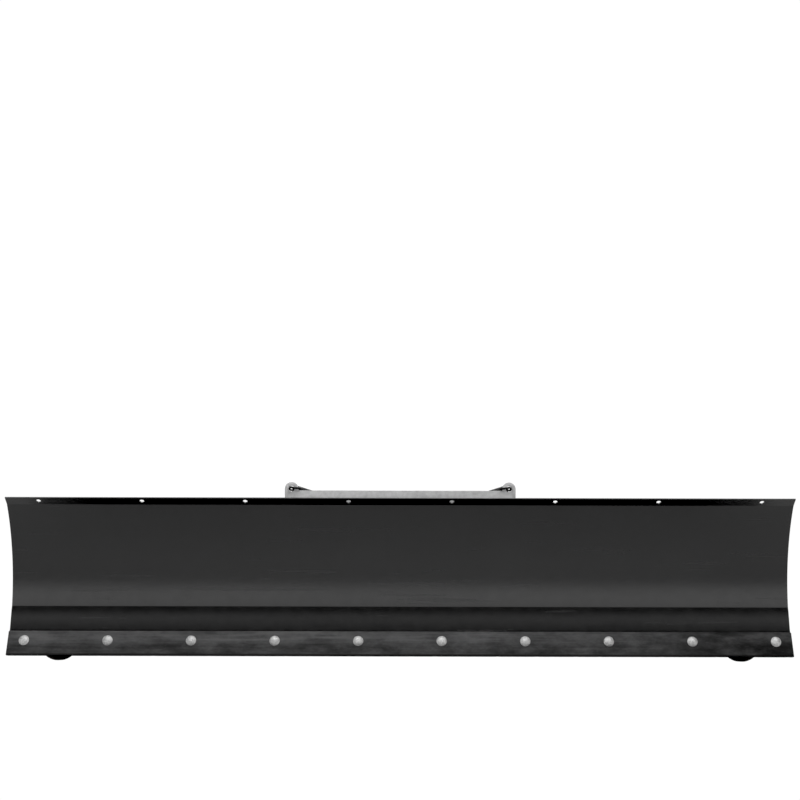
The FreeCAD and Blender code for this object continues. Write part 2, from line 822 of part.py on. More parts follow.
def tower_plate(label, x):
    base = "cross_z + cross_side + king_plate"
    corners = [
        ("cross_y + stop_thick", base),
        ("tower_base", base),
        ("tower_bar_y + tube_side + stop_thick", "tower_bar_z"),
        ("tower_bar_y - stop_thick", "tower_bar_z"),
        ("cross_y + stop_thick", f"{base} + cross_side"),
    ]
    side_plate(label, corners, "king_plate", x)


def tower_bar():
    """The square tube on top of the tower plates that anchors the springs' eyebolts."""
    body = hollow_bar("tower_bar", "tower_bar_y", "tower_bar_z", "tube_side", "tube_wall", "tower_bar_half")
    sketch = new_sketch(body, "XZ_Plane")
    for sign in ("", "-"):
        circle(sketch, f"{sign}eye_x", "tube_side / 2", "eye_wire_r + slack")
    pocket(body, sketch, "4 * tube_side")


def eyebolt(label, x):
    """A closed ring on a threaded shank that points back through the tower bar."""
    ring_part = doc.addObject("Part::Torus", label + "_ring")
    ring_part.setExpression("Radius1", bound("eye_ring_r"))
    ring_part.setExpression("Radius2", bound("eye_wire_r"))
    shank = doc.addObject("Part::Cylinder", label + "_shank")
    shank.setExpression("Radius", bound("eye_wire_r"))
    shank.setExpression("Height", bound("eye_shank_end - eye_y - eye_ring_r"))
    shank.Placement = FreeCAD.Placement(V(0, 0, 0), FreeCAD.Rotation(V(-1, 0, 0), 90))
    shank.setExpression("Placement.Base.y", bound("eye_ring_r"))
    bolt = doc.addObject("Part::Fuse", label)
    bolt.Label = label
    bolt.Base = ring_part
    bolt.Tool = shank
    parts.append(bolt)
    place(bolt, x=x, y="eye_y", z="tower_bar_z + tube_side / 2")


def eyebolt_nuts():
    """A nut on each side of the tower bar sets the pull of each spring."""
    body = new_body("eyebolt_nuts")
    pads = []
    for start in ("-nut_rise", "tube_side"):
        sketch = new_sketch(body, "XZ_Plane")
        sketch.setExpression("AttachmentOffset.Base.z", bound(f"-({start}) - nut_rise"))
        corners = [(f"eye_x + ({c[0]})", c[1]) for c in hexagon("nut_flats")]
        outline(sketch, corners)
        circle(sketch, "eye_x", "0", "eye_wire_r + slack / 2")
        pads.append(pad(body, sketch, "nut_rise"))
    mirror(body, pads)
    place(body, y="tower_bar_y", z="tower_bar_z + tube_side / 2")


# ---- trip springs ----

def rod(start, end, radius):
    return Part.makeCylinder(radius, (end - start).Length, start, end - start)


def trip_spring(label, sign):
    """An extension spring from an ear of the spring bar to an eyebolt: its coils as one closed
    cylinder, a hook through the ear and a closed loop in the eyebolt's ring."""
    size = SIZES
    wire = size["spring_wire_r"]
    ear_x = size["ear_bar_half"] - size["ear_r"]
    ear_back = size["ear_bar_y"] + size["ear_bar_thick"]
    top = V(ear_x, ear_back + size["hook_reach"], size["ear_z"])
    eye = V(size["eye_x"], size["eye_y"], size["tower_bar_z"] + size["tube_side"] / 2)
    way = (eye - top).normalize()
    loop_back = size["eye_ring_r"] - size["eye_wire_r"] - wire - size["loop_gap"]
    loop = eye - way * (loop_back + size["hook_r"])
    coil_top = top + way * size["hook_neck"]
    coil_end = loop - way * (size["hook_r"] + size["hook_neck"])
    side = way.cross(V(0, 0, 1)).normalize()
    solids = [
        rod(V(ear_x, size["ear_bar_y"] - size["hook_front"], size["ear_z"]), top, wire),
        Part.makeSphere(wire, top),
        rod(top, coil_top + way, wire),
        rod(coil_top, coil_end, size["spring_r"]),
        rod(coil_end - way, loop - way * (size["hook_r"] - wire / 2), wire),
        Part.makeTorus(size["hook_r"], wire, loop, side),
    ]
    shape = solids[0].multiFuse(solids[1:])
    if sign < 0:
        shape = shape.mirror(V(0, 0, 0), V(1, 0, 0))
    spring = doc.addObject("Part::Feature", label)
    spring.Label = label
    spring.Shape = shape
    parts.append(spring)
    place(spring)


def check_and_write():
    doc.recompute()
    for item in doc.Objects:
        if "Invalid" in item.State or "Error" in item.State:
            raise ValueError(f"{item.Label} failed: {item.State}")
    for part in parts:
        if part.Shape.isNull() or not part.Shape.isValid() or not part.Shape.Solids:
            raise ValueError(f"{part.Label} has no valid shape")
    for part in parts:
        part.Shape.exportStep(f"parts/{part.Label}.step")
    print(len(parts), "sub-parts written")


moldboard()
wear_bar()
wear_bar_bolts()
wear_bar_washers()
wear_bar_nuts()
back_tube()
spring_bar()
light_rib("centre_rib", "0", notched=True)
pivot_bolts()
pivot_washers()
pivot_nuts()
hollow_bar("cross_tube", "cross_y", "cross_z", "cross_side", "cross_wall", "cross_half")
king_plate("king_plate_top", "cross_z + cross_side", lock_holes=True)
king_plate("king_plate_bottom", "cross_z - king_plate", lock_holes=False)
top_collar_z = "cross_z + cross_side + king_plate"
ring("king_collar_top", "king_r", "king_collar_r", "king_collar_rise", "0", "king_y", top_collar_z)
bottom_collar_z = "cross_z - king_plate - king_collar_rise"
ring("king_collar_bottom", "king_r", "king_collar_r", "king_collar_rise", "0", "king_y", bottom_collar_z)
tower_bar()
eyebolt_nuts()
for side, sign in (("left", -1), ("right", 1)):
    main_rib(f"main_rib_{side}_outer", f"{sign} * (pair_x + pair_gap / 2)")
    main_rib(f"main_rib_{side}_inner", f"{sign} * (pair_x - pair_gap / 2)")
    light_rib(f"mid_rib_{side}", f"{sign} * mid_rib_x", notched=True)
    light_rib(f"end_rib_{side}", f"{sign} * end_rib_x", notched=False)
    skid(side, sign)
    pivot_sleeve(f"pivot_sleeve_{side}", f"{sign} * pair_x")
    frame_arm(f"frame_arm_{side}", f"{sign} * pair_x")
    cross_plug(f"cross_plug_{side}", sign)
    stop_plate(f"stop_plate_{side}", f"{sign} * pair_x")
    stop_gusset(f"stop_gusset_{side}", f"{sign} * pair_x")
    bumper(f"stop_bumper_{side}", f"{sign} * pair_x")
    tower_plate(f"tower_plate_{side}", f"{sign} * tower_x")
    eyebolt(f"eyebolt_{side}", f"{sign} * eye_x")
    trip_spring(f"trip_spring_{side}", sign)
check_and_write()
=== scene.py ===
"""Looks of a trip-hinged plow blade: its finishes, rolled sheet, fasteners, springs, welds and studio.

Lengths are in metres in the CAD frame: X along the blade, -Y the way it faces, Z up.
"""
import json
import math

import bmesh
import bpy
from mathutils import Matrix, Vector, noise

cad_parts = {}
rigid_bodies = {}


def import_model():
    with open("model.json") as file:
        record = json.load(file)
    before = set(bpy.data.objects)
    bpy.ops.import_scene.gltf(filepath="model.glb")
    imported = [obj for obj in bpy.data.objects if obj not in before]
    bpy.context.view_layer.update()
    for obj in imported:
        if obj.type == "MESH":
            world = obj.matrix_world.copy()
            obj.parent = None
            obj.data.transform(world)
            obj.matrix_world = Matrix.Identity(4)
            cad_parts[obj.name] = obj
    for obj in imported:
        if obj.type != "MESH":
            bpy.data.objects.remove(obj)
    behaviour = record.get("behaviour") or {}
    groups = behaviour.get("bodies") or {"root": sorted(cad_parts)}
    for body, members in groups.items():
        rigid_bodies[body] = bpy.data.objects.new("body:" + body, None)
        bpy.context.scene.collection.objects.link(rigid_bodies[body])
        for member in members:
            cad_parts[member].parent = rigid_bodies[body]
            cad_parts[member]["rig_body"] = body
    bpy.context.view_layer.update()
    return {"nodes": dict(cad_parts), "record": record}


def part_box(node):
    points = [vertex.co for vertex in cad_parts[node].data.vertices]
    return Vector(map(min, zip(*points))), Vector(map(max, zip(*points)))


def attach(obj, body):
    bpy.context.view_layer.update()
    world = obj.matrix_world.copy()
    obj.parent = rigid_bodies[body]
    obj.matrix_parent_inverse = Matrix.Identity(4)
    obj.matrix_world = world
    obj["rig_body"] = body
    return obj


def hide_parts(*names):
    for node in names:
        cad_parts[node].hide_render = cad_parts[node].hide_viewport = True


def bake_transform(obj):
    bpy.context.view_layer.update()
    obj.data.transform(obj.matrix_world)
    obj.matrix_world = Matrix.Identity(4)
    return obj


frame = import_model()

SLOT_OF = {entry["node"]: entry["material_slot"] for entry in frame["record"]["subparts"]}

# Sizes that the boxes of the CAD nodes don't give.
MM = 0.001
SHEET = 3 * MM
EDGE_TILT = math.radians(24)
FLAT_TILT = math.radians(16.3)
CREASE_TILT = math.radians(10)
BROW_TILT = math.radians(29)
LIP_TILT = math.radians(47.5)
EDGE_LEN = 64.6 * MM
EDGE_MARGIN = 9 * MM
FLAT_LEN = 55 * MM
ROLL_R = 365 * MM
LIP_LEN = 23 * MM
BAR_THICK = 6 * MM
BAR_WIDTH = 59 * MM
BOLT_UP = 36 * MM
BOLT_COUNT = 10
HEAD_R = 12 * MM
HEAD_RISE = 5 * MM
NUT_FLATS = 17 * MM

# Points closer than this are one point. Faces that meet at less than these degrees shade as one.
SAME_POINT = 0.01 * MM
SHEET_SMOOTH = 30
NODE_SMOOTH = 35


def lean(tilt):
    """The way up a face that leans back by tilt."""
    return Vector((0, math.sin(tilt), math.cos(tilt)))


def inward(tilt):
    """Straight into the back of a face that leans back by tilt."""
    return Vector((0, math.cos(tilt), -math.sin(tilt)))


# ---- finishes ----


class Finish:
    """A node material, built up from grains laid over the object's own coordinates."""

    def __init__(self, name, metallic=0.0):
        self.material = bpy.data.materials.new(name)
        self.material.use_nodes = True
        self.nodes = self.material.node_tree.nodes
        self.links = self.material.node_tree.links
        self.shader = self.nodes["Principled BSDF"]
        self.shader.inputs["Metallic"].default_value = metallic
        self.place = self.nodes.new("ShaderNodeTexCoord").outputs["Object"]

    def feed(self, socket, value):
        """Links a socket to another node's output, or sets it to a plain value."""
        if isinstance(value, bpy.types.NodeSocket):
            self.links.new(value, socket)
        else:
            socket.default_value = value

    def grain(self, scale, stretch=(1, 1, 1), detail=5, roughness=0.55):
        """Noise with about scale blobs to the metre, drawn out along an axis whose stretch is small."""
        mapping = self.nodes.new("ShaderNodeMapping")
        mapping.inputs["Scale"].default_value = stretch
        self.links.new(self.place, mapping.inputs["Vector"])
        texture = self.nodes.new("ShaderNodeTexNoise")
        self.links.new(mapping.outputs["Vector"], texture.inputs["Vector"])
        texture.inputs["Scale"].default_value = scale
        texture.inputs["Detail"].default_value = detail
        texture.inputs["Roughness"].default_value = roughness
        return texture.outputs["Fac"]

    def cells(self, scale):
        texture = self.nodes.new("ShaderNodeTexVoronoi")
        self.links.new(self.place, texture.inputs["Vector"])
        texture.inputs["Scale"].default_value = scale
        return texture.outputs["Color"]

    def along(self, axis):
        """The coordinate along X, Y or Z."""
        split = self.nodes.new("ShaderNodeSeparateXYZ")
        self.links.new(self.place, split.inputs["Vector"])
        return split.outputs[axis]

    def facing_up(self):
        geometry = self.nodes.new("ShaderNodeNewGeometry")
        split = self.nodes.new("ShaderNodeSeparateXYZ")
        self.links.new(geometry.outputs["Normal"], split.inputs["Vector"])
        return split.outputs["Z"]

    def span(self, value, low, high, first=0.0, last=1.0):
        """Turns low to high into first to last, and goes no further."""
        node = self.nodes.new("ShaderNodeMapRange")
        for socket, number in zip(node.inputs[:5], (value, low, high, first, last)):
            self.feed(socket, number)
        return node.outputs["Result"]

    def math(self, operation, first, second):
        node = self.nodes.new("ShaderNodeMath")
        node.operation = operation
        self.feed(node.inputs[0], first)
        self.feed(node.inputs[1], second)
        return node.outputs[0]

    def mix(self, factor, first, second):
        """A colour between two, each a socket or three numbers."""
        node = self.nodes.new("ShaderNodeMix")
        node.data_type = "RGBA"
        self.feed(node.inputs["Factor"], factor)
        for name, colour in (("A_Color", first), ("B_Color", second)):
            socket = next(s for s in node.inputs if s.identifier == name)
            self.feed(socket, (*colour, 1) if isinstance(colour, tuple) else colour)
        return next(s for s in node.outputs if s.identifier == "Result_Color")

    def relief(self, height, depth, over=None):
        node = self.nodes.new("ShaderNodeBump")
        node.inputs["Distance"].default_value = depth
        self.feed(node.inputs["Height"], height)
        if over is not None:
            self.feed(node.inputs["Normal"], over)
        return node.outputs["Normal"]

    def done(self, colour, roughness, normal):
        self.feed(self.shader.inputs["Base Color"], colour)
        self.feed(self.shader.inputs["Roughness"], roughness)
        self.feed(self.shader.inputs["Normal"], normal)
        return self.material


def black_powder_coat():
    """Semi-gloss powder coat: orange peel, faint waves in the sheet, a little dust and long scuffs."""
    finish = Finish("black_powder_coat")
    mottle = finish.grain(7, detail=3)
    speckle = finish.grain(46, detail=8, roughness=0.7)
    scuffs = finish.span(finish.grain(70, (0.05, 1, 1), detail=3), 0.63, 0.74)
    colour = finish.mix(finish.span(mottle, 0.35, 0.65), (0.0014, 0.0014, 0.0015), (0.0028, 0.0028, 0.0029))
    settled = finish.span(finish.facing_up(), 0.1, 1, 0.0, 0.14)
    dust = finish.math("MULTIPLY", finish.span(speckle, 0.3, 0.8), settled)
    colour = finish.mix(dust, colour, (0.07, 0.067, 0.062))
    colour = finish.mix(finish.math("MULTIPLY", scuffs, 0.12), colour, (0.03, 0.03, 0.03))
    smoothness = finish.span(speckle, 0.3, 0.7, 0.20, 0.27)
    roughness = finish.math("ADD", smoothness, finish.math("MULTIPLY", scuffs, 0.12))
    waves = finish.relief(finish.grain(5, (0.6, 1, 1), detail=2), 0.5 * MM)
    return finish.done(colour, roughness, finish.relief(finish.grain(750, detail=2), 0.05 * MM, waves))


def wear_steel():
    """Hot-rolled flat bar: patchy scale, long streaks, painted shade along the lower edge, and darker low
    down and to the right.
    """
    finish = Finish("wear_steel", metallic=0.25)
    patches = finish.grain(24, (0.45, 1, 1), detail=8, roughness=0.68)
    streaks = finish.grain(160, (0.04, 1, 1), detail=4)
    pits = finish.grain(420, detail=4, roughness=0.7)
    colour = finish.mix(finish.span(patches, 0.36, 0.64), (0.012, 0.012, 0.0125), (0.056, 0.056, 0.057))
    colour = finish.mix(finish.span(streaks, 0.45, 0.72, 0, 0.5), colour, (0.08, 0.08, 0.08))
    low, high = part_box("wear_bar")
    # Darker towards the bottom and towards the right end, in uneven patches, with less specular there.
    lower_half = finish.span(finish.along("Z"), low.z + 24 * MM, high.z - 18 * MM, 0.62, 0.0)
    right_end = finish.span(finish.along("X"), 0.25, high.x - 0.1, 0.0, 1.0)
    uneven = finish.span(patches, 0.66, 0.40, 0.45, 1.0)
    low_right_darkening = finish.math("MULTIPLY", finish.math("MAXIMUM", lower_half, right_end), uneven)
    colour = finish.mix(low_right_darkening, colour, (0.004, 0.004, 0.004))
    # Painted shade: a near-black band along the bar's lower edge stands in for the shade on its downward
    # face.
    edge = finish.span(finish.along("Z"), low.z + 6.0 * MM, low.z + 7.2 * MM, 1.0, 0.0)
    colour = finish.mix(edge, colour, (0.002, 0.002, 0.002))
    finish.feed(finish.shader.inputs["Specular IOR Level"], finish.span(low_right_darkening, 0.0, 1.0, 0.46, 0.12))
    roughness = finish.span(patches, 0.3, 0.7, 0.55, 0.38)
    scale = finish.relief(patches, 0.35 * MM)
    return finish.done(colour, roughness, finish.relief(pits, 0.12 * MM, scale))


def zinc_plate():
    """Bright zinc with a faint dull bloom."""
    finish = Finish("zinc_plate", metallic=0.75)
    bloom = finish.grain(320, detail=6, roughness=0.7)
    colour = finish.mix(finish.span(bloom, 0.35, 0.65), (0.27, 0.27, 0.27), (0.55, 0.55, 0.545))
    roughness = finish.span(bloom, 0.3, 0.7, 0.5, 0.68)
    return finish.done(colour, roughness, finish.relief(finish.grain(900, detail=3), 0.06 * MM))


def grey_plate():
    """Galvanised bar: pale grey with soft spangles."""
    finish = Finish("grey_plate", metallic=0.35)
    bloom = finish.grain(60, detail=7, roughness=0.65)
    spangle = finish.span(finish.cells(150), 0.0, 1.0)
    colour = finish.mix(finish.span(bloom, 0.35, 0.65), (0.30, 0.30, 0.30), (0.42, 0.42, 0.42))
    colour = finish.mix(finish.math("MULTIPLY", spangle, 0.35), colour, (0.52, 0.52, 0.53))
    roughness = finish.span(bloom, 0.3, 0.7, 0.45, 0.6)
    return finish.done(colour, roughness, finish.relief(finish.grain(500, detail=4), 0.08 * MM))


def spring_black():
    """Oiled black spring wire with light drawing marks."""
    finish = Finish("spring_black", metallic=0.2)
    marks = finish.grain(400, detail=5)
    colour = finish.mix(finish.span(marks, 0.4, 0.7), (0.003, 0.003, 0.003), (0.010, 0.010, 0.0095))
    roughness = finish.span(marks, 0.3, 0.7, 0.34, 0.48)
    finish.shader.inputs["Specular IOR Level"].default_value = 0.2
    return finish.done(colour, roughness, finish.relief(marks, 0.05 * MM))


def shoe_black():
    """Painted cast iron, rubbed and rusty where the dish slides."""
    finish = Finish("shoe_black")
    sand = finish.grain(520, detail=5, roughness=0.65)
    rub = finish.math(
        "MULTIPLY",
        finish.span(finish.along("Z"), 0.001, 0.012, 0.8, 0.0),
        finish.span(finish.grain(90, detail=6), 0.42, 0.6),
    )
    colour = finish.mix(finish.span(sand, 0.35, 0.7), (0.006, 0.006, 0.006), (0.015, 0.015, 0.015))
    colour = finish.mix(rub, colour, (0.09, 0.075, 0.06))
    roughness = finish.span(sand, 0.3, 0.7, 0.5, 0.68)
    return finish.done(colour, roughness, finish.relief(sand, 0.25 * MM))


def rubber():
    finish = Finish("rubber")
    pores = finish.grain(650, detail=5, roughness=0.7)
    colour = finish.mix(finish.span(pores, 0.3, 0.7), (0.008, 0.008, 0.008), (0.022, 0.021, 0.02))
    roughness = finish.span(pores, 0.3, 0.7, 0.7, 0.88)
    return finish.done(colour, roughness, finish.relief(pores, 0.15 * MM))


def black_plastic():
    finish = Finish("black_plastic")
    leather = finish.grain(1100, detail=2)
    haze = finish.grain(80, detail=5)
    colour = finish.mix(finish.span(haze, 0.4, 0.7), (0.010, 0.010, 0.010), (0.02, 0.02, 0.02))
    roughness = finish.span(haze, 0.3, 0.7, 0.42, 0.58)
    return finish.done(colour, roughness, finish.relief(leather, 0.08 * MM))


FINISHES = {
    make.__name__: make()
    for make in (
        black_powder_coat,
        wear_steel,
        zinc_plate,
        grey_plate,
        spring_black,
        shoe_black,
        rubber,
        black_plastic,
    )
}


# ---- shapes ----


class Shape:
    """Points and faces that become one piece."""

    def __init__(self):
        self.points = []
        self.faces = []

    def skin(self, rings, place=None, looped=False):
        """Joins closed rings of points, each as long as the next, and caps the ends unless they meet."""
        first = len(self.points)
        size = len(rings[0])
        for ring in rings:
            self.points += [place @ p if place else p for p in ring]
        count = len(rings)
        for i in range(count if looped else count - 1):
            a = first + i * size
            b = first + (i + 1) % count * size
            self.faces += [(a + j, a + (j + 1) % size, b + (j + 1) % size, b + j) for j in range(size)]
        if not looped:
            self.faces.append(tuple(range(first + size - 1, first - 1, -1)))
            self.faces.append(tuple(range(first + (count - 1) * size, first + count * size)))

    def piece(self, name, slot, body, replaces=(), smooth=40):
        """Makes the object, rounds its shading below the smooth angle, and joins it to its body."""
        mesh = bpy.data.meshes.new(name)
        mesh.from_pydata(self.points, [], self.faces)
        made = bmesh.new()
        made.from_mesh(mesh)
        bmesh.ops.recalc_face_normals(made, faces=made.faces)
        made.to_mesh(mesh)
        made.free()
        return settle(bpy.data.objects.new(name, mesh), slot, body, replaces, smooth)


def settle(piece, slot, body, replaces, smooth):
    """Gives a piece its finish and shading, puts it in the scene and joins it to its body, if given."""
    mesh = piece.data
    mesh.materials.clear()
    mesh.materials.append(FINISHES[slot])
    mesh.polygons.foreach_set("use_smooth", [True] * len(mesh.polygons))
    mesh.set_sharp_from_angle(angle=math.radians(smooth))
    bpy.context.scene.collection.objects.link(piece)
    if body:
        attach(piece, body)
    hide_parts(*replaces)
    return piece


def lathe(profile, sides=40):
    """Rings round Z through a profile of (radius, height) points."""
    turns = [2 * math.pi * i / sides for i in range(sides)]
    return [[Vector((r * math.cos(t), r * math.sin(t), z)) for t in turns] for r, z in profile]


def threaded(radius, start, end, pitch=1.5 * MM, sides=28):
    """Rings of a screw thread along Z: a ridge that climbs one pitch each turn."""
    depth = 0.55 * pitch
    steps = max(int((end - start) / pitch * 6), 6)
    rings = []
    for i in range(steps + 1):
        z = start + (end - start) * i / steps
        ring = []
        for j in range(sides):
            phase = (z / pitch - j / sides) % 1
            r = radius - depth * abs(2 * phase - 1)
            turn = 2 * math.pi * j / sides
            ring.append(Vector((r * math.cos(turn), r * math.sin(turn), z)))
        rings.append(ring)
    return rings


def hex_rings(flats, rise, base=0.0, sides=72):
    """A hexagon with its corners chamfered at both ends, as a bolt head or nut has."""
    chamfer = 0.9 * MM
    end_r = flats / 2
    past_corner = flats / math.sqrt(3) + MM
    levels = [(0, end_r), (chamfer, past_corner), (rise - chamfer, past_corner), (rise, end_r)]
    rings = []
    for height, limit in levels:
        ring = []
        for j in range(sides):
            turn = 2 * math.pi * j / sides
            off = (turn + math.pi / 6) % (math.pi / 3) - math.pi / 6
            r = min(end_r / math.cos(off), limit)
            ring.append(Vector((r * math.cos(turn), r * math.sin(turn), base + height)))
        rings.append(ring)
    return rings


def washer_profile(rim, hole, thick, base):
    """A flat ring's section with its rim eased."""
    ease = 0.4 * MM
    outline = [
        (hole, 0),
        (rim - ease, 0),
        (rim, ease),
        (rim, thick - ease),
        (rim - ease, thick),
        (hole, thick),
    ]
    return [(r, base + z) for r, z in outline]


def sweep(path, radius_at, sides=10, looped=False):
    """Rings round a path, with the radius given at each step along it."""
    count = len(path)
    rings = []
    side = None
    for i, point in enumerate(path):
        before = path[i - 1] if looped or i else path[i]
        after = path[(i + 1) % count] if looped or i < count - 1 else path[i]
        way = (after - before).normalized()
        if side is None:
            side = way.orthogonal().normalized()
        side = (side - way * side.dot(way)).normalized()
        up = way.cross(side)
        r = radius_at(i)
        turns = [2 * math.pi * j / sides for j in range(sides)]
        rings.append([point + (side * math.cos(t) + up * math.sin(t)) * r for t in turns])
    return rings


def smooth_path(points, steps=8):
    """A smooth curve through the points."""
    curve = []
    for i in range(len(points) - 1):
        before = points[max(i - 1, 0)]
        a, b = points[i], points[i + 1]
        after = points[min(i + 2, len(points) - 1)]
        for step in range(steps):
            t = step / steps
            curve.append(
                0.5
                * (
                    2 * a
                    + (b - before) * t
                    + (2 * before - 5 * a + 4 * b - after) * t * t
                    + (3 * a - before - 3 * b + after) * t ** 3
                )
            )
    return curve + [points[-1]]


def facing(origin, way):
    """A place whose Z points along way."""
    return Matrix.Translation(origin) @ way.to_track_quat("Z", "Y").to_matrix().to_4x4()


def solids_of(node):
    """The box of each separate solid in a CAD node, as (lowest, highest) corners, by X, then Y, then Z."""
    made = bmesh.new()
    made.from_mesh(frame["nodes"][node].data)
    bmesh.ops.remove_doubles(made, verts=made.verts, dist=SAME_POINT)
    left = set(made.verts)
    boxes = []
    while left:
        found = {left.pop()}
        edge = set(found)
        while edge:
            edge = {e.other_vert(v) for v in edge for e in v.link_edges} - found
            found |= edge
        left -= found
        corners = [v.co for v in found]
        boxes.append((Vector(map(min, *corners)), Vector(map(max, *corners))))
    made.free()
    return sorted(boxes, key=lambda box: tuple(box[0]))


def dressed(node, bevel):
    """A CAD node again with its sharp edges broken, as sheared, sawn and moulded edges are."""
    source = frame["nodes"][node]
    mesh = source.data.copy()
    made = bmesh.new()
    made.from_mesh(mesh)
    bmesh.ops.remove_doubles(made, verts=made.verts, dist=SAME_POINT)
    bmesh.ops.dissolve_limit(made, angle_limit=math.radians(1), verts=made.verts, edges=made.edges)
    sharp_angle = math.radians(NODE_SMOOTH)
    sharp = [e for e in made.edges if len(e.link_faces) == 2 and e.calc_face_angle(0) > sharp_angle]
    bmesh.ops.bevel(
        made, geom=sharp, offset=bevel, segments=2, profile=0.5, affect="EDGES", clamp_overlap=True
    )
    made.to_mesh(mesh)
    made.free()
    piece = bpy.data.objects.new(node + "_finished", mesh)
    return settle(piece, SLOT_OF[node], source["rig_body"], [node], NODE_SMOOTH)


# ---- moldboard and wear bar ----

bar_low, bar_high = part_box("wear_bar")
bar_back = Vector((0, bar_low.y + BAR_THICK * math.cos(EDGE_TILT), bar_low.z))
bar_front = Vector((0, bar_low.y, bar_low.z + BAR_THICK * math.sin(EDGE_TILT)))
half_width = bar_high.x


def turned(corner, tilt_below, tilt_above, radius, steps=5):
    """A rounded bend at a corner of the side profile, as points with their face tilts."""
    reach = radius * math.tan(abs(tilt_below - tilt_above) / 2)
    start = corner - lean(tilt_below) * reach
    centre_side = 1 if tilt_above < tilt_below else -1
    centre = start - inward(tilt_below) * radius * centre_side
    stops = [tilt_below + (tilt_above - tilt_below) * i / steps for i in range(steps + 1)]
    return [(centre + inward(t) * radius * centre_side, t) for t in stops]


def sprung_flat(bend, steps=22):
    """The narrow flat above the bar: it leans back most beside its two folds, and least in the middle."""
    middle_slope, fold_slope = -2.2, 6.5
    low_share, added_share = 0.45, 1.1
    points = []
    bow = 0
    for i in range(1, steps):
        along = i / steps
        share = low_share + added_share * along
        slope = math.radians(fold_slope * (2 * along - 1) ** 2 * share + middle_slope)
        bow += slope * FLAT_LEN / steps
        spot = bend + lean(FLAT_TILT) * FLAT_LEN * along + inward(FLAT_TILT) * bow
        points.append((spot, FLAT_TILT + slope))
    return points


def board_profile():
    """The moldboard's front face from its lower edge to the lip's end, as points with their tilts."""
    foot = bar_back + lean(EDGE_TILT) * EDGE_MARGIN
    bend = bar_back + lean(EDGE_TILT) * EDGE_LEN
    crease = bend + lean(FLAT_TILT) * FLAT_LEN
    centre = crease - inward(CREASE_TILT) * ROLL_R
    brow = centre + inward(-BROW_TILT) * ROLL_R
    lip_end = brow + lean(-LIP_TILT) * LIP_LEN
    roll_steps = 40
    roll = [CREASE_TILT - (CREASE_TILT + BROW_TILT) * i / roll_steps for i in range(1, roll_steps)]
    points = [(foot, EDGE_TILT)]
    points += turned(bend, EDGE_TILT, FLAT_TILT, 9 * MM)
    points += sprung_flat(bend)
    points += turned(crease, FLAT_TILT, CREASE_TILT, 5 * MM)
    points += [(centre + inward(tilt) * ROLL_R, tilt) for tilt in roll]
    points += turned(brow, -BROW_TILT, -LIP_TILT, 4 * MM)
    points.append((lip_end, -LIP_TILT))
    return points


def moldboard():
    """The rolled sheet with its edges eased and the flap holes drilled through its lip."""
    profile = board_profile()
    ease = 0.6 * MM
    shape = Shape()

    def ring(x, inset):
        """The sheet's section at x, drawn in by inset all round."""
        front = [p + inward(t) * inset for p, t in profile]
        back = [p + inward(t) * (SHEET - inset) for p, t in profile]
        front[0], back[0] = front[0] + lean(EDGE_TILT) * inset, back[0] + lean(EDGE_TILT) * inset
        front[-1], back[-1] = front[-1] - lean(-LIP_TILT) * inset, back[-1] - lean(-LIP_TILT) * inset
        round_lip = [front[-1] + lean(-LIP_TILT) * -ease, front[-1] + inward(-LIP_TILT) * ease]
        round_back = [back[-1] - inward(-LIP_TILT) * ease, back[-1] + lean(-LIP_TILT) * -ease]
        return [Vector((x, p.y, p.z)) for p in [*front[:-1], *round_lip, *round_back, *reversed(back[:-1])]]

    steps = 96
    stations = [half_width * (2 * i / steps - 1) for i in range(1, steps)]
    rings = [ring(-half_width, ease), ring(-half_width + ease, 0)]
    rings += [ring(x, 0) for x in stations]
    rings += [ring(half_width - ease, 0), ring(half_width, ease)]
    shape.skin(rings)
    piece = shape.piece("moldboard_sheet", "black_powder_coat", "blade", ["moldboard"], smooth=SHEET_SMOOTH)
    drills = Shape()
    drill_start, drill_len = 5 * MM, 14 * MM
    for mount in frame["record"]["mounts"]:
        if mount["name"].startswith("flap_hole"):
            way = Vector(mount["axis"])
            place = facing(Vector(mount["pos_m"]) - way * drill_start, way)
            drills.skin(lathe([(mount["dims"]["r_mm"] * MM, z) for z in (0, drill_len)], 32), place)
    cut_holes(piece, drills)


def cut_holes(piece, drills):
    """Cuts the drills' shape out of a piece."""
    mesh = bpy.data.meshes.new("drills")
    mesh.from_pydata(drills.points, [], drills.faces)
    tool = bpy.data.objects.new("drills", mesh)
    bpy.context.scene.collection.objects.link(tool)
    cut = piece.modifiers.new("holes", "BOOLEAN")
    cut.object = tool
    cut.solver = "EXACT"
    bpy.context.view_layer.update()
    cut_mesh = bpy.data.meshes.new_from_object(piece.evaluated_get(bpy.context.evaluated_depsgraph_get()))
    piece.modifiers.clear()
    piece.data = cut_mesh
    bpy.data.objects.remove(tool)
    cut_mesh.set_sharp_from_angle(angle=math.radians(SHEET_SMOOTH))


